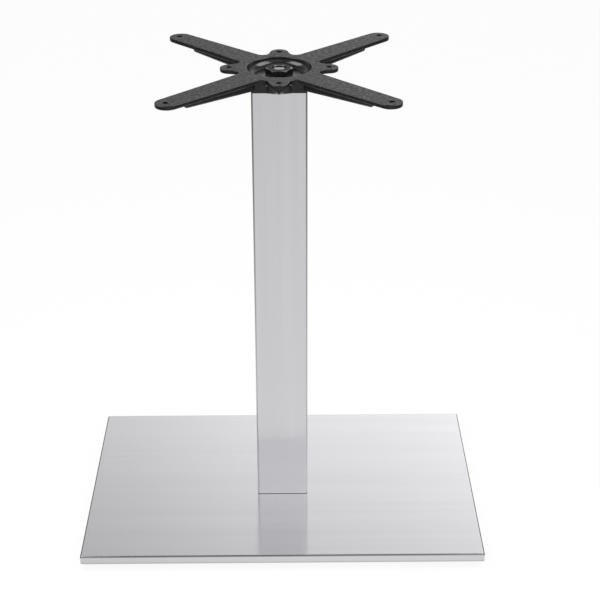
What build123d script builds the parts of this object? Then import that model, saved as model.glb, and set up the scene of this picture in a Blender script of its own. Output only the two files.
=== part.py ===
from build123d import *
import os

# Pedestal table base: stainless base plate and square column under a cast four-arm spider.
# Millimetres, with the floor at Z = 0, the column on the Z axis and the plate's long side along X.

# Overall height, from the floor to the face that the table top lies on
overall_height = 710.0

# Base plate: a folded stainless cover over a steel ballast plate
base_length = 600.0
base_depth = 400.0
cover_edge_height = 13.0
cover_sheet = 1.2
cover_bend_radius = 2.5
cover_corner_radius = 3.0
ballast_thickness = 10.0
ballast_side_gap = 0.5
ballast_edge_chamfer = 2.0

# Square column tube
column_width = 78.0
column_wall = 1.5
column_corner_radius = 3.0
column_end_chamfer = 0.8

# Block that locates the foot of the column, and the screws that hold it from below
seat_height = 20.0
seat_clearance = 0.3
seat_edge_chamfer = 1.5
seat_screw_spacing = 46.0
seat_screw_diameter = 8.0
seat_screw_length = 25.0
seat_screw_head_diameter = 16.0
seat_screw_head_recess = 0.3
seat_screw_socket = 5.0
seat_screw_socket_depth = 3.0
screw_hole_clearance = 0.5
thread_clearance = 0.05
thread_end_chamfer = 1.0

# Tie rod with the nut and washer that clamp the column
rod_diameter = 20.0
rod_end_gap = 1.0
rod_end_chamfer = 2.5
rod_recess = 2.0
rod_hole_clearance = 0.75
washer_diameter = 39.0
washer_thickness = 2.0
washer_bore_clearance = 0.5
nut_across_flats = 34.0
nut_height = 9.5
nut_chamfer_angle = 30.0
nut_crown_inset = 0.5

# Spider casting: hub
spider_height = 25.0
bowl_rim_radius = 45.0
bowl_floor_radius = 43.5
bowl_depth = 12.0
bowl_wall = 5.0
bowl_floor_thickness = 7.0
bowl_floor_fillet = 11.0
ring_width = 15.0
spigot_depth = 12.0
spigot_wall = 6.0
spigot_clearance = 0.3

# Spider casting: arms and their ribs
arm_hole_spacing = 295.0
arm_hole_diameter = 8.0
arm_tip_radius = 16.5
arm_hole_to_tip = 13.7
arm_root_width = 41.0
arm_thickness = 6.0
rib_thickness = 8.0
rib_root_depth = 22.5
rib_end_depth = 16.0
rib_end_gap = 32.5
rib_end_radius = 4.0
rib_edge_radius = 3.5

# Spider casting: ears and the prow-shaped gussets under them
ear_hole_circle = 139.0
ear_hole_diameter = 8.0
ear_tip_radius = 13.0
ear_root_width = 38.0
gusset_head_width = 30.0
gusset_head_reach = 21.0
gusset_foot_width = 36.0
gusset_foot_reach = 5.5
gusset_ridge_radius = 6.0
valley_radius = 9.0
top_edge_radius = 1.0
lower_edge_radius = 1.5

# Levelling feet
foot_inset = 45.0
foot_pad_diameter = 34.0
foot_pad_height = 13.0
foot_pad_taper = 10.0
foot_pad_edge_radius = 1.5
foot_stud_diameter = 8.0
foot_stud_reach = 9.0
foot_head_across_flats = 13.0
foot_head_height = 4.0
foot_head_cover = 2.0

# Levels that the pieces share
ballast_bottom = foot_pad_height
ballast_top = ballast_bottom + ballast_thickness
cover_top = ballast_top + cover_sheet
cover_bottom = cover_top - cover_edge_height
column_top = overall_height - spider_height
plate_bottom = overall_height - arm_thickness
bowl_floor = overall_height - bowl_depth
washer_top = bowl_floor + washer_thickness
nut_top = washer_top + nut_height

# Sections and places that the pieces share
column_inside = column_width - 2 * column_wall
column_inside_radius = column_corner_radius - column_wall
foot_x = base_length / 2 - foot_inset
foot_y = base_depth / 2 - foot_inset
corners = {"front_left": (-1, -1), "front_right": (1, -1), "back_left": (-1, 1), "back_right": (1, 1)}

os.makedirs("parts", exist_ok=True)

# Base cover: one sheet with its edges turned down and its corners closed
with BuildPart() as base_cover:
    with BuildSketch(Plane.XY.offset(cover_bottom)):
        RectangleRounded(base_length, base_depth, cover_corner_radius)
    extrude(amount=cover_edge_height)
    fillet(base_cover.faces().sort_by(Axis.Z)[-1].edges(), cover_bend_radius)
    offset(amount=-cover_sheet, openings=base_cover.faces().sort_by(Axis.Z)[0])
    with BuildSketch(Plane.XY.offset(ballast_top)):
        with GridLocations(seat_screw_spacing, seat_screw_spacing, 2, 2):
            Circle(seat_screw_diameter / 2 + screw_hole_clearance)
    extrude(amount=cover_sheet, mode=Mode.SUBTRACT)
base_cover.part.label = "base_cover"
export_step(base_cover.part, "parts/base_cover.step")

# Ballast plate: fills the cover, tapped for the feet and countersunk below for the seat screws
ballast_length = base_length - 2 * (cover_sheet + ballast_side_gap)
ballast_depth = base_depth - 2 * (cover_sheet + ballast_side_gap)
with BuildPart() as ballast_plate:
    with BuildSketch(Plane.XY.offset(ballast_bottom)):
        RectangleRounded(ballast_length, ballast_depth, cover_corner_radius)
    extrude(amount=ballast_thickness)
    chamfer(ballast_plate.faces().sort_by(Axis.Z)[-1].edges(), ballast_edge_chamfer)
    with Locations(Plane.XY.offset(ballast_bottom).rotated((180, 0, 0))):
        with GridLocations(seat_screw_spacing, seat_screw_spacing, 2, 2):
            CounterSinkHole(
                radius=seat_screw_diameter / 2 + screw_hole_clearance,
                counter_sink_radius=seat_screw_head_diameter / 2 + screw_hole_clearance + seat_screw_head_recess,
                depth=ballast_thickness,
                counter_sink_angle=90,
            )
        with GridLocations(2 * foot_x, 2 * foot_y, 2, 2):
            Hole(radius=foot_stud_diameter / 2 + thread_clearance, depth=ballast_thickness)
ballast_plate.part.label = "ballast_plate"
export_step(ballast_plate.part, "parts/ballast_plate.step")

# Column seat: a block that fits the tube's foot, tapped for the rod and for the screws from below
seat_side = column_inside - 2 * seat_clearance
with BuildPart() as column_seat:
    with BuildSketch(Plane.XY.offset(cover_top)):
        RectangleRounded(seat_side, seat_side, column_corner_radius)
    extrude(amount=seat_height)
    chamfer(column_seat.faces().sort_by(Axis.Z)[-1].edges(), seat_edge_chamfer)
    with Locations((0, 0, cover_top + seat_height)):
        Hole(radius=rod_diameter / 2 + thread_clearance)
        with GridLocations(seat_screw_spacing, seat_screw_spacing, 2, 2):
            Hole(radius=seat_screw_diameter / 2 + thread_clearance)
column_seat.part.label = "column_seat"
export_step(column_seat.part, "parts/column_seat.step")

# Seat screws: countersunk, with a hexagon socket, heads just inside the underside of the ballast
seat_screw_head_height = (seat_screw_head_diameter - seat_screw_diameter) / 2
seat_screw_bottom = ballast_bottom + seat_screw_head_recess
for corner, (side_x, side_y) in corners.items():
    screw_place = Plane((side_x * seat_screw_spacing / 2, side_y * seat_screw_spacing / 2, seat_screw_bottom))
    with BuildPart() as seat_screw:
        with BuildSketch(screw_place):
            Circle(seat_screw_diameter / 2)
        extrude(amount=seat_screw_length)
        chamfer(seat_screw.edges().sort_by(Axis.Z)[-1], thread_end_chamfer)
        with BuildSketch(screw_place):
            Circle(seat_screw_head_diameter / 2)
        with BuildSketch(screw_place.offset(seat_screw_head_height)):
            Circle(seat_screw_diameter / 2)
        loft()
        with BuildSketch(screw_place):
            RegularPolygon(seat_screw_socket / 2, 6, major_radius=False)
        extrude(amount=seat_screw_socket_depth, mode=Mode.SUBTRACT)
    seat_screw.part.label = f"seat_screw_{corner}"
    export_step(seat_screw.part, f"parts/seat_screw_{corner}.step")

# Column: square tube from the cover up to the skirt of the spider
with BuildPart() as column_tube:
    with BuildSketch(Plane.XY.offset(cover_top)):
        RectangleRounded(column_width, column_width, column_corner_radius)
        RectangleRounded(column_inside, column_inside, column_inside_radius, mode=Mode.SUBTRACT)
    extrude(amount=column_top - cover_top)
    chamfer(column_tube.faces().sort_by(Axis.Z)[0].outer_wire().edges(), column_end_chamfer)
column_tube.part.label = "column_tube"
export_step(column_tube.part, "parts/column_tube.step")

# Tie rod: screwed into the seat, its upper end just inside the nut
rod_bottom = cover_top + rod_end_gap
with BuildPart() as tie_rod:
    with BuildSketch(Plane.XY.offset(rod_bottom)):
        Circle(rod_diameter / 2)
    extrude(amount=nut_top - rod_recess - rod_bottom)
    chamfer(tie_rod.edges().filter_by(GeomType.CIRCLE), rod_end_chamfer)
tie_rod.part.label = "tie_rod"
export_step(tie_rod.part, "parts/tie_rod.step")

# Outline of one arm, from the hub to a round tip just past its screw hole
arm_hole_radius = arm_hole_spacing / 2 ** 0.5
arm_end = arm_hole_radius + arm_hole_to_tip
with BuildSketch() as arm_outline:
    with Locations((bowl_rim_radius, 0)):
        Circle(arm_root_width / 2)
    with Locations((arm_end - arm_tip_radius, 0)):
        Circle(arm_tip_radius)
    make_hull()

# Outline of one ear, shorter and blunter, with a round tip about its own screw hole
ear_hole_radius = ear_hole_circle / 2
with BuildSketch() as ear_outline:
    with Locations((bowl_rim_radius, 0)):
        Circle(ear_root_width / 2)
    with Locations((ear_hole_radius, 0)):
        Circle(ear_tip_radius)
    make_hull()

# Outline of the whole top face, with the inside corners between arms and ears rounded
with BuildSketch() as top_outline:
    Circle(bowl_rim_radius + ring_width)
    with PolarLocations(0, 4, start_angle=45):
        add(arm_outline.sketch)
    with PolarLocations(0, 4):
        add(ear_outline.sketch)
    offset(amount=valley_radius, kind=Kind.ARC)
    offset(amount=-valley_radius, kind=Kind.ARC)

# Rib under one arm: nearly as deep as the skirt at the column, shallow and rounded at its outer end
rib_end = arm_hole_radius - rib_end_gap
column_corner = column_width / 2 * 2 ** 0.5 - column_corner_radius * (2 ** 0.5 - 1)
with BuildPart() as arm_rib:
    with BuildSketch(Plane.XZ) as rib_profile:
        with BuildLine():
            Polyline(
                (0, plate_bottom),
                (rib_end, plate_bottom),
                (rib_end, overall_height - rib_end_depth),
                (column_corner, overall_height - rib_root_depth),
                (0, overall_height - rib_root_depth),
                close=True,
            )
        make_face()
        fillet(rib_profile.vertices().group_by(Axis.X)[-1].sort_by(Axis.Y)[0], rib_end_radius)
    extrude(amount=rib_thickness / 2, both=True)
    fillet(arm_rib.faces().filter_by(Axis.Y).edges().group_by(Axis.Z)[:-1], rib_edge_radius)

# Gusset under one ear: a prow that leans in from the ear down to the foot of the skirt
skirt_face = column_width / 2
with BuildPart() as ear_gusset:
    with BuildSketch(Plane.XY.offset(plate_bottom)):
        with BuildLine():
            Polyline(
                (0, -gusset_head_width / 2),
                (skirt_face, -gusset_head_width / 2),
                (skirt_face + gusset_head_reach, 0),
                (skirt_face, gusset_head_width / 2),
                (0, gusset_head_width / 2),
                close=True,
            )
        make_face()
    with BuildSketch(Plane.XY.offset(column_top)):
        with BuildLine():
            Polyline(
                (0, -gusset_foot_width / 2),
                (skirt_face, -gusset_foot_width / 2),
                (skirt_face + gusset_foot_reach, 0),
                (skirt_face, gusset_foot_width / 2),
                (0, gusset_foot_width / 2),
                close=True,
            )
        make_face()
    loft()
    fillet(ear_gusset.edges().sort_by(Axis.X)[-1], gusset_ridge_radius)

# Spider: one casting with its arms, ears, dished hub, skirt and the spigot inside the column
spigot_side = column_inside - 2 * spigot_clearance
spigot_hollow = spigot_side - 2 * spigot_wall
spigot_bottom = column_top - spigot_depth
bowl_curve = min(bowl_floor_fillet, bowl_depth - top_edge_radius)
with BuildPart() as spider:
    with BuildSketch(Plane.XY.offset(plate_bottom)):
        add(top_outline.sketch)
    extrude(amount=arm_thickness)
    fillet(spider.edges().group_by(Axis.Z)[-1], top_edge_radius)
    fillet(spider.edges().group_by(Axis.Z)[0], lower_edge_radius)
    with PolarLocations(0, 4, start_angle=45):
        add(arm_rib.part)
    with PolarLocations(0, 4):
        add(ear_gusset.part)
    with BuildSketch(Plane.XY.offset(column_top)):
        RectangleRounded(column_width, column_width, column_corner_radius)
    extrude(amount=spider_height - arm_thickness)
    with BuildSketch(Plane.XY.offset(bowl_floor - bowl_floor_thickness)):
        Circle(skirt_face)
    with BuildSketch(Plane.XY.offset(plate_bottom)):
        Circle(bowl_rim_radius + bowl_wall)
    loft()
    with BuildSketch(Plane.XY.offset(spigot_bottom)):
        RectangleRounded(spigot_side, spigot_side, column_corner_radius)
    extrude(amount=spigot_depth)
    with BuildSketch(Plane.XY.offset(spigot_bottom)):
        RectangleRounded(spigot_hollow, spigot_hollow, column_corner_radius)
    extrude(amount=bowl_floor - bowl_floor_thickness - spigot_bottom, mode=Mode.SUBTRACT)
    with BuildSketch(Plane.XZ) as bowl_section:
        with BuildLine():
            Polyline(
                (0, bowl_floor),
                (bowl_floor_radius, bowl_floor),
                (bowl_rim_radius, overall_height),
                (0, overall_height),
                close=True,
            )
        make_face()
        fillet(bowl_section.vertices().sort_by(Axis.Y)[:2].sort_by(Axis.X)[-1], bowl_curve)
    revolve(axis=Axis.Z, mode=Mode.SUBTRACT)
    fillet(spider.faces().sort_by(Axis.Z)[-1].inner_wires().edges(), top_edge_radius)
    with Locations((0, 0, overall_height)):
        Hole(radius=rod_diameter / 2 + rod_hole_clearance)
        with GridLocations(arm_hole_spacing, arm_hole_spacing, 2, 2):
            Hole(radius=arm_hole_diameter / 2)
        with PolarLocations(ear_hole_radius, 4):
            Hole(radius=ear_hole_diameter / 2)
spider.part.label = "spider"
export_step(spider.part, "parts/spider.step")

# Clamp washer on the floor of the bowl
with BuildPart() as clamp_washer:
    with BuildSketch(Plane.XY.offset(bowl_floor)):
        Circle(washer_diameter / 2)
        Circle(rod_diameter / 2 + washer_bore_clearance, mode=Mode.SUBTRACT)
    extrude(amount=washer_thickness)
clamp_washer.part.label = "clamp_washer"
export_step(clamp_washer.part, "parts/clamp_washer.step")

# Clamp nut: a thin hexagon nut whose corners are turned off by a cone above and below
nut_crown_radius = nut_across_flats / 2 - nut_crown_inset
with BuildPart() as clamp_nut:
    with BuildSketch(Plane.XY.offset(washer_top)):
        RegularPolygon(nut_across_flats / 2, 6, major_radius=False)
        Circle(rod_diameter / 2 + thread_clearance, mode=Mode.SUBTRACT)
    extrude(amount=nut_height)
    with BuildSketch(Plane.XY.offset(washer_top)):
        Circle(nut_crown_radius)
    extrude(amount=nut_height, taper=nut_chamfer_angle - 90, mode=Mode.INTERSECT)
    with BuildSketch(Plane.XY.offset(nut_top)):
        Circle(nut_crown_radius)
    extrude(amount=-nut_height, taper=nut_chamfer_angle - 90, mode=Mode.INTERSECT)
clamp_nut.part.label = "clamp_nut"
export_step(clamp_nut.part, "parts/clamp_nut.step")

# Levelling feet: a stud with a hexagon head, and a pad moulded round the head
foot_head_top = foot_pad_height - foot_head_cover
foot_head_bottom = foot_head_top - foot_head_height
for corner, (side_x, side_y) in corners.items():
    foot_place = Plane((side_x * foot_x, side_y * foot_y, 0))
    with BuildPart() as foot_stud:
        with BuildSketch(foot_place.offset(foot_head_bottom)):
            RegularPolygon(foot_head_across_flats / 2, 6, major_radius=False)
        extrude(amount=foot_head_height)
        with BuildSketch(foot_place.offset(foot_head_top)):
            Circle(foot_stud_diameter / 2)
        extrude(amount=foot_head_cover + foot_stud_reach)
        chamfer(foot_stud.edges().sort_by(Axis.Z)[-1], thread_end_chamfer)
    foot_stud.part.label = f"foot_stud_{corner}"
    export_step(foot_stud.part, f"parts/foot_stud_{corner}.step")

    with BuildPart() as foot_pad:
        with BuildSketch(foot_place):
            Circle(foot_pad_diameter / 2)
        extrude(amount=foot_pad_height, taper=foot_pad_taper)
        fillet(foot_pad.edges().filter_by(GeomType.CIRCLE), foot_pad_edge_radius)
        with BuildSketch(foot_place.offset(foot_head_bottom)):
            RegularPolygon(foot_head_across_flats / 2, 6, major_radius=False)
        extrude(amount=foot_head_height, mode=Mode.SUBTRACT)
        with BuildSketch(foot_place.offset(foot_head_top)):
            Circle(foot_stud_diameter / 2 + thread_clearance)
        extrude(amount=foot_head_cover, mode=Mode.SUBTRACT)
    foot_pad.part.label = f"foot_pad_{corner}"
    export_step(foot_pad.part, f"parts/foot_pad_{corner}.step")
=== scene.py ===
# %% [markdown]
# Pedestal table base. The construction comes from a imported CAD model: a folded stainless cover over a
# ballast plate, a square stainless column, a cast spider that carries the table top, and four levelling
# feet. This lesson gives every surface its finish, cuts the studs' threads, and sets up a plain studio.
# Everything is in metres, with the floor at Z = 0 and the column on the Z axis.

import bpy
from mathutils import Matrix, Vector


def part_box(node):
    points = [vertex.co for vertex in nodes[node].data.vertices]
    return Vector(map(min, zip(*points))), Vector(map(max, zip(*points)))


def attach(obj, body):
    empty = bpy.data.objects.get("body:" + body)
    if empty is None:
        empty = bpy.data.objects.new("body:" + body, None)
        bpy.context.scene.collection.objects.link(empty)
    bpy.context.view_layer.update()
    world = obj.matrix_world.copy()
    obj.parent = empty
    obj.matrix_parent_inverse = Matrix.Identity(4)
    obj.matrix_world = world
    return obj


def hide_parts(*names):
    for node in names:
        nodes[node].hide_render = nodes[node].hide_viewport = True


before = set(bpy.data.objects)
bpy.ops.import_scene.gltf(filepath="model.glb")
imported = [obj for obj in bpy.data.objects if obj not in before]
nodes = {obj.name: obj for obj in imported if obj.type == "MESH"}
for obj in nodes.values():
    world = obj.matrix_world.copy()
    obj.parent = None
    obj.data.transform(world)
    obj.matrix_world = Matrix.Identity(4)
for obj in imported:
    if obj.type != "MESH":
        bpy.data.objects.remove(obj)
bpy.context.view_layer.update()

# %% Tools from Blender
import math

import bmesh
import bpy
from mathutils import Matrix, Vector

bpy.context.scene.view_settings.view_transform = "Standard"

# %% [markdown]
# A finish is a material made of nodes: a Principled shader, and textures that feed its sockets. Adding
# nodes one by one takes many lines, so three small helpers make a finish, add a node with its links and
# values, and link a texture to the shader. They serve the floor and the world as well.


# %% Helpers: shaders and nodes
def new_finish(name, **values):
    """A material with one Principled shader, whose sockets take the given values."""
    finish = bpy.data.materials.new(name)
    finish.use_nodes = True
    shader = finish.node_tree.nodes["Principled BSDF"]
    for socket, value in values.items():
        shader.inputs[socket.replace("_", " ")].default_value = value
    return finish


def add_node(finish, kind, links=None, settings=None, **values):
    """A node of that kind: links feed its sockets, settings are its own choices, values fill sockets."""
    node = finish.node_tree.nodes.new("ShaderNode" + kind)
    for setting, choice in (settings or {}).items():
        setattr(node, setting, choice)
    for socket, value in values.items():
        node.inputs[socket.replace("_", " ")].default_value = value
    for socket, source in (links or {}).items():
        finish.node_tree.links.new(source, node.inputs[socket])
    return node


def feed_shader(finish, socket, source):
    """Links a texture to a socket of the finish's Principled shader."""
    shader = finish.node_tree.nodes["Principled BSDF"]
    finish.node_tree.links.new(source, shader.inputs[socket])


# %% [markdown]
# Textures need to know where a point lies and which way the surface faces there. The pieces sit at the
# origin, so object coordinates are real metres, and a noise can be given the size of real grain. Math and
# Map Range nodes then turn a texture into the value that a socket needs.

# %% Helpers: textures and values
noise_middle = (0.3, 0.7)


def place_parts(finish):
    """The X, Y and Z of each point, in metres."""
    place = add_node(finish, "TexCoord").outputs["Object"]
    return add_node(finish, "SeparateXYZ", {"Vector": place}).outputs


def facing_parts(finish):
    """The X, Y and Z parts of the direction in which the surface faces."""
    facing = add_node(finish, "TexCoord").outputs["Normal"]
    return add_node(finish, "SeparateXYZ", {"Vector": facing}).outputs


def stretched_noise(finish, scale, detail=2.0):
    """Noise in metres, with its own scale along X, Y and Z: a small scale draws streaks that way."""
    place = add_node(finish, "TexCoord").outputs["Object"]
    sized = add_node(finish, "Mapping", {"Vector": place}, Scale=scale)
    noise = add_node(finish, "TexNoise", {"Vector": sized.outputs["Vector"]}, Scale=1.0, Detail=detail)
    return noise.outputs["Fac"]


def ranged(finish, source, before, after):
    """Maps a value from one range to another, and holds it at the ends."""
    node = add_node(finish, "MapRange", {"Value": source})
    for socket, value in zip(("From Min", "From Max", "To Min", "To Max"), (*before, *after)):
        node.inputs[socket].default_value = value
    return node.outputs["Result"]


def spread(finish, source, low, high):
    """Maps the range in which most of a noise lies to the values from low to high."""
    return ranged(finish, source, noise_middle, (low, high))


def combined(finish, operation, first, second):
    """A Math node between two values, each a number or the output of another node."""
    node = add_node(finish, "Math", settings={"operation": operation})
    for socket, value in zip(node.inputs, (first, second)):
        if isinstance(value, (int, float)):
            socket.default_value = value
        else:
            finish.node_tree.links.new(value, socket)
    return node.outputs[0]


# %% [markdown]
# The last helpers colour a texture, blend two colours, stack bumps and put a finish on pieces. A bump
# bends the light as a fine relief would, with its depth given in metres.


# %% Helpers: colours, bumps and coats
def two_tones(finish, source, dark, light):
    """Colours a texture between two tones."""
    ramp = add_node(finish, "ValToRGB", {"Fac": source})
    for stop, position, tone in zip(ramp.color_ramp.elements, noise_middle, (dark, light)):
        stop.position = position
        stop.color = (*tone, 1)
    return ramp.outputs["Color"]


def mixed(finish, share, first, second):
    """Blends from the first colour to the second, each a tone or the output of another node."""
    node = add_node(finish, "MixRGB", {"Fac": share})
    for socket, colour in zip(("Color1", "Color2"), (first, second)):
        if isinstance(colour, tuple):
            node.inputs[socket].default_value = (*colour, 1)
        else:
            finish.node_tree.links.new(colour, node.inputs[socket])
    return node.outputs["Color"]


def feed_bump(finish, *heights):
    """Stacks bumps on the shader's normal. Each height is a texture and its depth in metres."""
    normal = None
    for source, depth in heights:
        links = {"Height": source}
        if normal:
            links["Normal"] = normal
        normal = add_node(finish, "Bump", links, Strength=1.0, Distance=depth).outputs["Normal"]
    feed_shader(finish, "Normal", normal)


def coat(finish, *names):
    """Gives a finish to CAD nodes."""
    for name in names:
        nodes[name].data.materials.clear()
        nodes[name].data.materials.append(finish)
    print(finish.name, "on", ", ".join(names))


# %% [markdown]
# Both stainless pieces have folds, the bends round the plate and the corners of the tube. Thin dark lines
# run along most of them, which are reflections of darker surroundings in the curved metal. A darker tone
# on the folds is a painted reflection, and it shows from every side. They may be mill finish that the brush
# missed, or only reflections. A darker tone on the folds is the simple way, and it shows from every side.
# The folds are where the surface faces between two axes, so the largest of the normal's three parts is 1 on
# every flat face and falls below it on a fold.

# %% Folds in stainless sheet
groove_depth = 0.000003


def facing_sizes(finish):
    """The sizes of the X, Y and Z parts of the direction in which the surface faces."""
    facing = add_node(finish, "TexCoord").outputs["Normal"]
    sizes = add_node(finish, "VectorMath", {0: facing}, {"operation": "ABSOLUTE"})
    return add_node(finish, "SeparateXYZ", {"Vector": sizes.outputs["Vector"]}).outputs


def on_folds(finish, sizes):
    """0 on flat faces and 1 on folds."""
    level = combined(finish, "MAXIMUM", sizes["X"], sizes["Y"])
    largest = combined(finish, "MAXIMUM", level, sizes["Z"])
    return ranged(finish, largest, (0.995, 0.95), (0.0, 1.0))


def brushed_tones(finish, bands):
    """Two close tones of stainless, in bands along the grain."""
    return two_tones(finish, bands, (0.780, 0.777, 0.805), (0.805, 0.802, 0.831))


# %% [markdown]
# The cover is stainless sheet, brushed along its long side. The brushing leaves grooves along X, so a
# reflection stays sharp along X and is smeared across it: the column's image in the plate has clear
# sides. The shader's anisotropy does that, with its tangent along the smear, and streaks of noise, long
# along X and fine across, give the grain. The tangent leans a little, so that it also works on the faces
# that look along Y.

# %% Brushed cover
brushed_cover = new_finish("brushed_cover", Metallic=1.0, Anisotropic=0.7)
cover_grain = stretched_noise(brushed_cover, (6.0, 1400.0, 1400.0), detail=3.0)
feed_shader(brushed_cover, "Roughness", spread(brushed_cover, cover_grain, 0.15, 0.19))
across_cover = add_node(brushed_cover, "CombineXYZ", X=0.0, Y=1.0, Z=0.05)
feed_shader(brushed_cover, "Tangent", across_cover.outputs["Vector"])
feed_bump(brushed_cover, (cover_grain, groove_depth))
coat(brushed_cover, "base_cover")

# %% [markdown]
# In the photograph the lines along the two end bends of the cover are darkest at the front and fade
# towards the back, and the cut edge at the bottom is a little darker than the sides. So the end bends get
# their own tones, which change along Y, and these tones were set by comparing greys with the photograph.
# The upright corners show no line. They are folds that do not face up at all, so the bends are the folds
# that do.

# %% Painted reflections on the bends and painted shade on the cut edge of the cover
# Painted reflections: the bend tones are darker than the sheet, darkest at the front of the end bends and
# lighter at the back. Painted shade: the cut edge tone darkens the lowest few millimetres of the cover.
long_bend_reflection_tone = (0.34, 0.34, 0.35)
front_bend_reflection_tone = (0.06, 0.06, 0.062)
back_bend_reflection_tone = (0.24, 0.24, 0.245)
cut_edge_shade_tone = (0.55, 0.55, 0.56)
cut_edge_height = 0.003
cover_half_depth = 0.2
cover_place = place_parts(brushed_cover)
cover_sizes = facing_sizes(brushed_cover)
to_back = ranged(brushed_cover, cover_place["Y"], (-cover_half_depth, cover_half_depth), (0.0, 1.0))
end_bend_reflection_tones = mixed(brushed_cover, to_back, front_bend_reflection_tone, back_bend_reflection_tone)
end_bends = combined(brushed_cover, "GREATER_THAN", cover_sizes["X"], cover_sizes["Y"])
bend_reflection_tones = mixed(brushed_cover, end_bends, long_bend_reflection_tone, end_bend_reflection_tones)
off_corners = ranged(brushed_cover, cover_sizes["Z"], (0.05, 0.15), (0.0, 1.0))
bends = combined(brushed_cover, "MULTIPLY", on_folds(brushed_cover, cover_sizes), off_corners)
cover_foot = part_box("base_cover")[0][2]
cut_edge_shade = ranged(brushed_cover, cover_place["Z"], (cover_foot, cover_foot + cut_edge_height), (1.0, 0.0))
cover_bands = stretched_noise(brushed_cover, (1.5, 60.0, 60.0))
cover_flats = mixed(brushed_cover, cut_edge_shade, brushed_tones(brushed_cover, cover_bands), cut_edge_shade_tone)
# The base colour carries the painted reflections on the bends and the painted shade at the cut edge.
feed_shader(brushed_cover, "Base Color", mixed(brushed_cover, bends, cover_flats, bend_reflection_tones))
print("cut edge of the cover at", round(cover_foot, 4), "m")

# %% [markdown]
# The column is stainless tube brushed lengthwise, so its grooves run along Z and it smears sideways.
# A radial tangent about Z lies across the grooves on all four sides and round the corners.

# %% Brushed column
brushed_column = new_finish("brushed_column", Metallic=1.0, Anisotropic=0.85)
column_grain = stretched_noise(brushed_column, (1400.0, 1400.0, 6.0), detail=3.0)
feed_shader(brushed_column, "Roughness", spread(brushed_column, column_grain, 0.20, 0.26))
round_column = add_node(brushed_column, "Tangent", settings={"direction_type": "RADIAL", "axis": "Z"})
feed_shader(brushed_column, "Tangent", round_column.outputs["Tangent"])
feed_bump(brushed_column, (column_grain, groove_depth))
coat(brushed_column, "column_tube")

# %% [markdown]
# The foot of the column mirrors the plate, which is greyer than the floor, and yet it looks about as bright
# as the rest. A brighter tone there is painted light that makes up for that. The dark lines at the corners
# are painted reflections that fade on the way down, and at the very foot a dark chamfer is painted shade
# along the joint with the plate. All three follow the height over the floor.

# %% Painted light at the foot and painted reflections on the corners of the column
# Painted light: the foot of the column gets a brighter tone. Painted reflections: the corners get a dark
# tone that fades downwards, and painted shade darkens the chamfer at the joint with the plate.
foot_light_tone = (0.90, 0.897, 0.92)
corner_reflection_tone = (0.36, 0.36, 0.37)
foot_light_heights = (0.02, 0.14)
corner_reflection_heights = (0.08, 0.62)
column_height = place_parts(brushed_column)["Z"]
column_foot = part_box("column_tube")[0][2]
chamfer_heights = (column_foot + 0.001, column_foot + 0.0015)
column_bands = stretched_noise(brushed_column, (70.0, 70.0, 1.5))
painted_foot_light = ranged(brushed_column, column_height, foot_light_heights, (1.0, 0.0))
column_flats = mixed(brushed_column, painted_foot_light, brushed_tones(brushed_column, column_bands), foot_light_tone)
joint_shade = ranged(brushed_column, column_height, chamfer_heights, (1.0, 0.0))
corner_reflection_lines = ranged(brushed_column, column_height, corner_reflection_heights, (0.0, 1.0))
reflection_and_shade_heights = combined(brushed_column, "MAXIMUM", joint_shade, corner_reflection_lines)
column_folds = on_folds(brushed_column, facing_sizes(brushed_column))
corner_reflection_and_joint_shade = combined(brushed_column, "MULTIPLY", column_folds, reflection_and_shade_heights)
# The base colour carries the painted light at the foot and the painted reflections and shade on the corners.
feed_shader(brushed_column, "Base Color", mixed(brushed_column, corner_reflection_and_joint_shade, column_flats, corner_reflection_tone))
print("foot of the column at", round(column_foot, 4), "m")

# %% [markdown]
# Three pieces at the top need to know which of their faces look up: the spider, whose top face is duller
# than its sides, the nut, whose sides and chamfer catch the light, and the tie rod, whose end is lighter
# than what is round it. The spider also needs to know which faces look down. The Z part of the normal
# tells both.


# %% Faces that look up or down
def facing_up(finish):
    """1 where the surface looks straight up, falling to 0 where it slopes."""
    return ranged(finish, facing_parts(finish)["Z"], (0.85, 0.97), (0.0, 1.0))


def facing_down(finish):
    """1 where the surface slopes well downwards, falling to 0 where it stands upright."""
    return ranged(finish, facing_parts(finish)["Z"], (-0.05, -0.25), (0.0, 1.0))


# %% [markdown]
# The spider is taken to be sand-cast iron under black powder coat. Sand leaves soft unevenness of a few
# millimetres and powder a finer orange peel, so two bumps of different size are stacked. The dish in the
# hub looks smoother, as if it was turned before painting, so little of the sand is left in it.

# %% Black casting
dish_radius = 0.045
sand_depth = 0.0006
peel_depth = 0.00008
black_casting = new_finish("black_casting", Specular_IOR_Level=0.5)
sand = stretched_noise(black_casting, (200.0, 200.0, 200.0), detail=4.0)
peel = stretched_noise(black_casting, (900.0, 900.0, 900.0))
soot = two_tones(black_casting, sand, (0.002, 0.002, 0.002), (0.004, 0.004, 0.004))
feed_shader(black_casting, "Base Color", soot)
casting_place = place_parts(black_casting)
level_place = add_node(black_casting, "CombineXYZ", {"X": casting_place["X"], "Y": casting_place["Y"]})
reach = add_node(black_casting, "VectorMath", {0: level_place.outputs["Vector"]}, {"operation": "LENGTH"})
from_axis = reach.outputs["Value"]
past_dish = ranged(black_casting, from_axis, (dish_radius, dish_radius + 0.002), (0.0, 1.0))
sand_left = ranged(black_casting, past_dish, (0.0, 1.0), (0.2, 1.0))
uneven = combined(black_casting, "MULTIPLY", sand, sand_left)
feed_bump(black_casting, (uneven, sand_depth), (peel, peel_depth))
coat(black_casting, "spider")

# %% [markdown]
# The gloss of the casting differs from part to part. The dish is the glossiest. Outside it the coat is a
# little duller, and the top face is duller still in patches. The undersides of the gussets close to the
# hub show no highlight in the photograph, so they are made rough, as a thin coat would leave them. The
# parts are added up.

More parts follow.
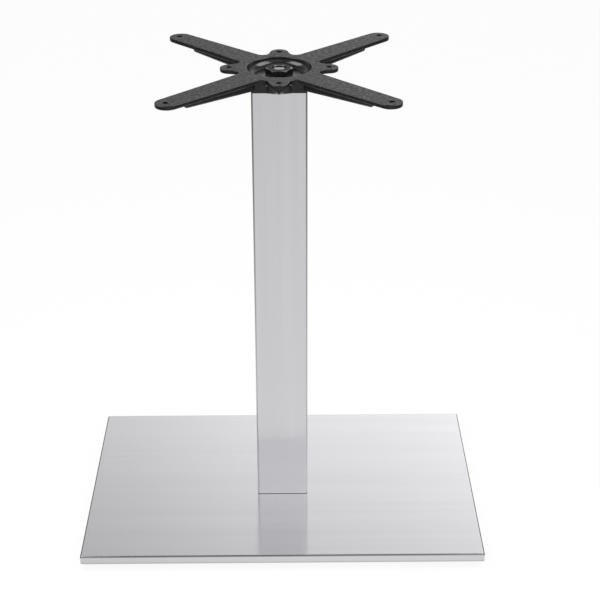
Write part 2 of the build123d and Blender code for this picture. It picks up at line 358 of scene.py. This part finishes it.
# %% Gloss of the casting
dish_roughness = 0.18
coat_roughness = 0.07
gusset_roughness = 0.45
gusset_reach = 0.08
patches = spread(black_casting, sand, 0.02, 0.36)
dull_top = combined(black_casting, "MULTIPLY", facing_up(black_casting), patches)
near_hub = ranged(black_casting, from_axis, (gusset_reach, gusset_reach + 0.01), (gusset_roughness, 0.0))
rough_gussets = combined(black_casting, "MULTIPLY", facing_down(black_casting), near_hub)
coated = combined(black_casting, "ADD", dull_top, coat_roughness)
outside = combined(black_casting, "ADD", coated, rough_gussets)
added = combined(black_casting, "MULTIPLY", past_dish, outside)
feed_shader(black_casting, "Roughness", combined(black_casting, "ADD", added, dish_roughness))
print("glossy dish of radius", dish_radius, "m")

# %% [markdown]
# The clamp nut and washer are taken to be steel with a black oxide skin, which is a dark metal and not a
# paint. The top of the nut looks dull, and its sides catch the light. So the faces that look up get a dark
# tone and more roughness, and the others, with the chamfer, a brighter tone and less roughness.

# %% Black fixings
black_fixing = new_finish("black_fixing", Metallic=1.0)
skin_grain = stretched_noise(black_fixing, (300.0, 300.0, 300.0), detail=3.0)
dull_faces = facing_up(black_fixing)
up_and_side_tones = mixed(black_fixing, dull_faces, (0.30, 0.30, 0.31), (0.03, 0.03, 0.032))
feed_shader(black_fixing, "Base Color", up_and_side_tones)
top_dullness = combined(black_fixing, "MULTIPLY", dull_faces, 0.35)
side_roughness = spread(black_fixing, skin_grain, 0.14, 0.26)
feed_shader(black_fixing, "Roughness", combined(black_fixing, "ADD", top_dullness, side_roughness))
feed_bump(black_fixing, (skin_grain, 0.00005))
coat(black_fixing, "clamp_washer", "clamp_nut")

# %% [markdown]
# The tie rod runs down inside the column, and only its end shows, in the middle of the nut. The end is
# light, like turned steel. The thread below it is hidden, and it is given a dark tone.

# %% Tie rod
rod_steel = new_finish("rod_steel", Metallic=1.0)
turning = stretched_noise(rod_steel, (700.0, 700.0, 700.0), detail=3.0)
rod_tones = mixed(rod_steel, facing_up(rod_steel), (0.06, 0.06, 0.062), (0.42, 0.42, 0.43))
feed_shader(rod_steel, "Base Color", rod_tones)
feed_shader(rod_steel, "Roughness", spread(rod_steel, turning, 0.28, 0.42))
feed_bump(rod_steel, (turning, 0.00002))
coat(rod_steel, "tie_rod")

# %% [markdown]
# Below and inside are plainer surfaces. A bare steel block sits in the foot of the column, held by
# zinc-plated screws. Each takes one noise, which varies its roughness, and on the zinc its colour too.

# %% Hidden steel and zinc
corners = ("front_left", "front_right", "back_left", "back_right")
bare_steel = new_finish("bare_steel", Metallic=1.0, Base_Color=(0.5, 0.5, 0.51, 1))
milled = stretched_noise(bare_steel, (500.0, 30.0, 500.0))
feed_shader(bare_steel, "Roughness", spread(bare_steel, milled, 0.35, 0.5))
coat(bare_steel, "column_seat")

zinc_fixing = new_finish("zinc_fixing", Metallic=1.0)
plating = stretched_noise(zinc_fixing, (200.0, 200.0, 200.0), detail=3.0)
zinc_tones = two_tones(zinc_fixing, plating, (0.56, 0.57, 0.58), (0.64, 0.65, 0.67))
feed_shader(zinc_fixing, "Base Color", zinc_tones)
feed_shader(zinc_fixing, "Roughness", spread(zinc_fixing, plating, 0.25, 0.4))
coat(zinc_fixing, *[f"seat_screw_{corner}" for corner in corners])

# %% [markdown]
# The ballast plate under the cover has a coat of black primer, which dries uneven, and the pads of the
# feet are black moulded plastic with a fine grain. Both are dull and take a shallow bump.

# %% Primer and plastic
ballast_paint = new_finish("ballast_paint", Specular_IOR_Level=0.3)
primer = stretched_noise(ballast_paint, (120.0, 120.0, 120.0), detail=5.0)
primer_tones = two_tones(ballast_paint, primer, (0.03, 0.03, 0.031), (0.045, 0.045, 0.047))
feed_shader(ballast_paint, "Base Color", primer_tones)
feed_shader(ballast_paint, "Roughness", spread(ballast_paint, primer, 0.55, 0.7))
feed_bump(ballast_paint, (primer, 0.0001))
coat(ballast_paint, "ballast_plate")

foot_plastic = new_finish("foot_plastic", Specular_IOR_Level=0.4)
moulding = stretched_noise(foot_plastic, (1500.0, 1500.0, 1500.0))
plastic_tones = two_tones(foot_plastic, moulding, (0.018, 0.018, 0.018), (0.024, 0.024, 0.024))
feed_shader(foot_plastic, "Base Color", plastic_tones)
feed_shader(foot_plastic, "Roughness", spread(foot_plastic, moulding, 0.48, 0.6))
feed_bump(foot_plastic, (moulding, 0.00003))
coat(foot_plastic, *[f"foot_pad_{corner}" for corner in corners])

# %% [markdown]
# Each levelling foot hangs on a stud with a real thread, which shows below the plate when the foot is
# screwed out. In the CAD the stud is a plain rod under a hexagon head. A bump would leave the thread's
# outline straight, so a mesh with the same form takes the plain stud's place. Rings of points climb the
# shank, and faces join each ring to the next.


# %% Rings of points
def ring_of_points(mesh, centre, height, radii):
    """A closed ring of points at one height, with its own radius for each point."""
    points = []
    for step, radius in enumerate(radii):
        angle = 2 * math.pi * step / len(radii)
        place = (centre[0] + radius * math.cos(angle), centre[1] + radius * math.sin(angle), height)
        points.append(mesh.verts.new(place))
    return points


def close_rings(mesh, rings):
    """Faces from each ring to the next, and a cap at both ends."""
    for lower, upper in zip(rings, rings[1:]):
        for step in range(len(lower)):
            after = (step + 1) % len(lower)
            mesh.faces.new((lower[step], lower[after], upper[after], upper[step]))
    mesh.faces.new(list(reversed(rings[0])))
    mesh.faces.new(rings[-1])


# %% [markdown]
# A groove winds round the shank, one pitch a turn, and each point of a ring moves in by the depth of the
# groove that passes it. The groove has a narrow flat bottom, sloping sides and a flat crest. At the top
# the stud is drawn in to a cone, which helps it into its hole.

# %% Form of the stud and its thread
stud_head_height = 0.004
stud_head_flats = 0.013
stud_radius = 0.004
thread_pitch = 0.00125
thread_depth = 0.0007
groove_bottom = 0.1
groove_edge = 0.5
ring_points = 48
rings_a_turn = 10


def thread_radius(height, turn, shank_top):
    """Radius of the thread at a height and a share of a turn, drawn in to a cone at the top."""
    winding = (height / thread_pitch - turn) % 1
    from_groove = abs(winding - 0.5) * 2
    groove = min(max((groove_edge - from_groove) / (groove_edge - groove_bottom), 0), 1)
    lead_in = stud_radius - thread_depth + (shank_top - height)
    return min(stud_radius - thread_depth * groove, lead_in)


# %% [markdown]
# Now the four studs are made: a hexagon head of two rings with six points, and the threaded shank on top
# of it. Each stud rides on its foot's body, so it moves with the foot, and it hides the plain stud.


# %% Threaded studs
def threaded_stud(corner):
    """Makes one stud where the CAD has its plain one, and lets it ride with its foot."""
    plain_stud = f"foot_stud_{corner}"
    low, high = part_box(plain_stud)
    centre = ((low[0] + high[0]) / 2, (low[1] + high[1]) / 2)
    head_top = low[2] + stud_head_height
    mesh = bmesh.new()
    head_radii = [stud_head_flats / math.sqrt(3)] * 6
    close_rings(mesh, [ring_of_points(mesh, centre, height, head_radii) for height in (low[2], head_top)])
    ring_count = round((high[2] - head_top) / thread_pitch * rings_a_turn)
    rings = []
    for ring in range(ring_count + 1):
        height = head_top + (high[2] - head_top) * ring / ring_count
        radii = [thread_radius(height, step / ring_points, high[2]) for step in range(ring_points)]
        rings.append(ring_of_points(mesh, centre, height, radii))
    close_rings(mesh, rings)
    stud_mesh = bpy.data.meshes.new(f"threaded_stud_{corner}")
    mesh.to_mesh(stud_mesh)
    mesh.free()
    stud_mesh.materials.append(zinc_fixing)
    stud = bpy.data.objects.new(f"threaded_stud_{corner}", stud_mesh)
    bpy.context.scene.collection.objects.link(stud)
    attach(stud, f"foot_{corner}")
    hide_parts(plain_stud)
    print(stud.name, len(stud_mesh.polygons), "faces")


for corner in corners:
    threaded_stud(corner)

# %% [markdown]
# The floor is a white sheet. The camera sees it as white with a faint shadow: for the camera, most of
# its light is an even glow of strength 1 and the rest is its own lit surface. The metal mirrors the
# sheet too, a little darker, and darker still towards the sheet's left and right edges, past which the
# floor is dim. Rays that carry diffuse light see only the lit surface, so the glow shows in mirrors and
# lights no matt surface.


# %% Glow of the floor
def ray_kinds(finish):
    """Two values that are 1 for rays from the camera, and 1 for rays by way of a mirror or glass."""
    path = add_node(finish, "LightPath").outputs
    mirrored = combined(finish, "MAXIMUM", path["Is Glossy Ray"], path["Is Transmission Ray"])
    return path["Is Camera Ray"], mirrored


sheet_level = 0.75
left_edge_level = 0.40
right_edge_level = 0.45
past_sheet_level = 0.25
floor_white = new_finish("floor_white", Base_Color=(0.9, 0.9, 0.9, 1), Roughness=1.0, Specular_IOR_Level=0.0)
sideways = place_parts(floor_white)["X"]
left_part = ranged(floor_white, sideways, (-1.7, 0.02), (left_edge_level, sheet_level))
right_part = ranged(floor_white, sideways, (0.25, 1.7), (sheet_level, right_edge_level))
sheet = combined(floor_white, "MINIMUM", left_part, right_part)
from_middle = combined(floor_white, "ABSOLUTE", sideways, 0.0)
on_sheet = ranged(floor_white, from_middle, (1.6, 2.1), (1.0, past_sheet_level))
mirrored_sheet = combined(floor_white, "MULTIPLY", sheet, on_sheet)
from_camera, from_mirror = ray_kinds(floor_white)
glow_level = combined(floor_white, "MAXIMUM", from_camera, mirrored_sheet)
glow = add_node(floor_white, "Emission", {"Strength": glow_level})

# %% [markdown]
# A Mix Shader blends the glow with the lit surface. Its share is the glow's for rays from the camera or a
# mirror, and nothing for the others. The floor itself is one large plane.

# %% Floor
floor_size = 40.0
glow_share = 0.93
floor_nodes = floor_white.node_tree.nodes
shown = combined(floor_white, "MAXIMUM", from_camera, from_mirror)
share = combined(floor_white, "MULTIPLY", shown, glow_share)
lit = floor_nodes["Principled BSDF"].outputs[0]
lit_and_glow = add_node(floor_white, "MixShader", {"Fac": share, 1: lit, 2: glow.outputs[0]})
floor_white.node_tree.links.new(lit_and_glow.outputs[0], floor_nodes["Material Output"].inputs["Surface"])
bpy.ops.mesh.primitive_plane_add(size=floor_size)
floor = bpy.context.object
floor.name = "floor"
floor.data.materials.append(floor_white)
print("floor", floor_size, "m wide")

# %% [markdown]
# The world is the studio round the object. Its levels were set so that the metal shows the greys of the
# photograph: a broad white band about 26 degrees up, dimmer at the horizon and towards the ceiling, and
# brighter on the right than on the left, with a soft bright spot behind the column. The plate lies flat
# and mirrors this, which shades it from its back right to its front left corner. Behind the camera the
# right side is hardly brighter than the middle, so the plate keeps its grey when it is seen from the back.

# %% Levels of the studio
left_level = 0.58
right_level = 1.33
far_right_level = 0.75
behind_camera_limit = 1.03
no_limit = 1.4
band_height = 0.44
band_level = 1.32
horizon_level = 0.35
ceiling_level = 0.42
bright_spot = (-0.02, 0.848, 0.53)
spot_radius = 0.09
spot_level = 1.13
print("studio band", band_level, "at height", band_height)

# %% Studio that the metal mirrors
world = bpy.data.worlds.new("studio")
world.use_nodes = True
bpy.context.scene.world = world
direction = add_node(world, "TexCoord").outputs["Generated"]
looked_at = add_node(world, "SeparateXYZ", {"Vector": direction}).outputs
from_left = ranged(world, looked_at["X"], (-0.25, 0.2), (left_level, right_level))
from_right = ranged(world, looked_at["X"], (0.2, 0.6), (right_level, far_right_level))
side_limit = ranged(world, looked_at["Y"], (-0.1, 0.1), (behind_camera_limit, no_limit))
by_side = combined(world, "MINIMUM", combined(world, "MINIMUM", from_left, from_right), side_limit)
above_band = ranged(world, looked_at["Z"], (band_height, 0.66), (band_level, ceiling_level))
below_band = ranged(world, looked_at["Z"], (0.08, band_height), (horizon_level, band_level))
by_height = combined(world, "MINIMUM", above_band, below_band)
from_spot = add_node(world, "VectorMath", {0: direction}, {"operation": "DISTANCE"})
from_spot.inputs[1].default_value = bright_spot
by_spot = ranged(world, from_spot.outputs["Value"], (0.0, spot_radius), (spot_level, 1.0))
band = combined(world, "MULTIPLY", by_side, by_height)
mirrored_studio = combined(world, "MULTIPLY", band, by_spot)
print("studio of", len(world.node_tree.nodes), "nodes")

# %% [markdown]
# Not every ray should see that studio. Diffuse surfaces get an even fill light, and the camera sees plain
# white. Two Map Range nodes choose between the three: each is a switch between its two ends, driven by
# the kind of ray.

# %% World
fill_level = 0.7
camera_level = 1.0
from_camera, from_mirror = ray_kinds(world)
lighting = add_node(world, "MapRange", {"Value": from_mirror, "To Max": mirrored_studio}, To_Min=fill_level)
unseen = lighting.outputs["Result"]
studio = add_node(world, "MapRange", {"Value": from_camera, "To Min": unseen}, To_Max=camera_level)
background = world.node_tree.nodes["Background"]
background.inputs["Color"].default_value = (1, 1, 1, 1)
world.node_tree.links.new(studio.outputs["Result"], background.inputs["Strength"])
print("fill light", fill_level)

# %% [markdown]
# Two equal softboxes hang left and right of the spider. They show as two highlights in the dished hub,
# and they hang so high over the plate that it does not mirror them when it is seen from the sides.

# %% Lamps
lamp_target = (0, 0, 0.7)
lamp_width = 0.8
lamp_height = 0.6
lamp_power = 8.5


def soft_lamp(name, place):
    """A softbox at that place that faces the spider."""
    lamp = bpy.data.lights.new(name, "AREA")
    lamp.shape = "RECTANGLE"
    lamp.size = lamp_width
    lamp.size_y = lamp_height
    lamp.energy = lamp_power
    holder = bpy.data.objects.new(name, lamp)
    holder.location = place
    holder.rotation_euler = (Vector(lamp_target) - Vector(place)).to_track_quat("-Z", "Y").to_euler()
    bpy.context.scene.collection.objects.link(holder)
    print(name, lamp_power, "W")


soft_lamp("lamp_right", (0.74, -0.22, 1.30))
soft_lamp("lamp_left", (-0.74, -0.22, 1.30))

# %% [markdown]
# The camera stands about two metres in front and looks down on the base. Its place, its tilt and its
# long lens come from a fit of the plate's corners, the column and the arm tips to the photograph.

# %% Camera
camera_lens = 88.55
camera_place = (0.0113, -1.9751, 1.3503)
camera_pitch = math.radians(26.940)
camera_yaw = math.radians(0.493)
camera_roll = math.radians(-0.126)
camera_data = bpy.data.cameras.new("camera")
camera_data.lens = camera_lens
camera = bpy.data.objects.new("camera", camera_data)
bpy.context.scene.collection.objects.link(camera)
camera.matrix_world = (
    Matrix.Translation(camera_place)
    @ Matrix.Rotation(-camera_yaw, 4, "Z")
    @ Matrix.Rotation(math.pi / 2 - camera_pitch, 4, "X")
    @ Matrix.Rotation(camera_roll, 4, "Z")
)
bpy.context.scene.camera = camera
print("camera with a lens of", camera_lens, "mm")
